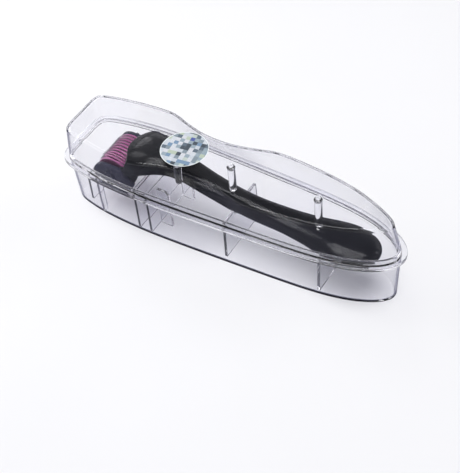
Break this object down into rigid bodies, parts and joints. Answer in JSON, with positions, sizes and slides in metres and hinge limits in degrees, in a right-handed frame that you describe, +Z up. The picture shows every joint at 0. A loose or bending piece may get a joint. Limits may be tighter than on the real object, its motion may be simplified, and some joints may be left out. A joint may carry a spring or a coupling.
{
  "type": "derma roller",
  "caption": "Micro-needle derma roller with a hooded black handle and a turning purple needle drum, lying in a clear two-part case with a lift-off lid.",
  "frame": {"origin": "on the ground under the middle of the case's bounding box", "axes": "+X towards the tail end of the handle, +Y across the case, +Z up"},
  "size_m": [0.1971, 0.0524, 0.0521],
  "materials": {
    "clear_shell": "clear polished polystyrene",
    "foil_label": "holographic facet foil, no printing",
    "handle_black": "high gloss moulded ABS",
    "yoke_black": "satin gloss moulded ABS",
    "axle_steel": "ground stainless steel",
    "core_white": "natural acetal",
    "drum_purple": "semi-gloss moulded plastic",
    "needle_steel": "etched stainless steel"
  },
  "bodies": {
    "case": {"case_tray": "clear_shell"},
    "lid": {"case_lid": "clear_shell", "lid_seal_label": "foil_label"},
    "roller": {"handle_upper_shell": "handle_black", "handle_lower_shell": "handle_black", "head_yoke": "yoke_black", "axle_pin": "axle_steel", "axle_cap_near": "yoke_black", "axle_cap_far": "yoke_black"},
    "drum": {"drum_core": "core_white", "drum_end_ring_near": "drum_purple", "drum_end_ring_far": "drum_purple", "spacer_ring_1": "drum_purple", "spacer_ring_2": "drum_purple", "spacer_ring_3": "drum_purple", "spacer_ring_4": "drum_purple", "spacer_ring_5": "drum_purple", "spacer_ring_6": "drum_purple", "spacer_ring_7": "drum_purple", "spacer_ring_8": "drum_purple", "needle_disc_1": "needle_steel", "needle_disc_2": "needle_steel", "needle_disc_3": "needle_steel", "needle_disc_4": "needle_steel", "needle_disc_5": "needle_steel", "needle_disc_6": "needle_steel", "needle_disc_7": "needle_steel", "needle_disc_8": "needle_steel", "needle_disc_9": "needle_steel"}
  },
  "joints": [
    {"name": "lid_lift", "type": "slide", "parent": "case", "child": "lid", "axis": [0, 0, 1], "range_m": [0, 0.12]},
    {"name": "roller_lift", "type": "slide", "parent": "case", "child": "roller", "axis": [0, 0, 1], "range_m": [0, 0.06]},
    {"name": "drum_spin", "type": "hinge", "parent": "roller", "child": "drum", "pos_m": [-0.069, 0, 0.0255], "axis": [0, 1, 0], "continuous": true}
  ],
  "couplings": [
    {"joint": "roller_lift", "follows": "lid_lift", "ratio": 0.5}
  ]
}
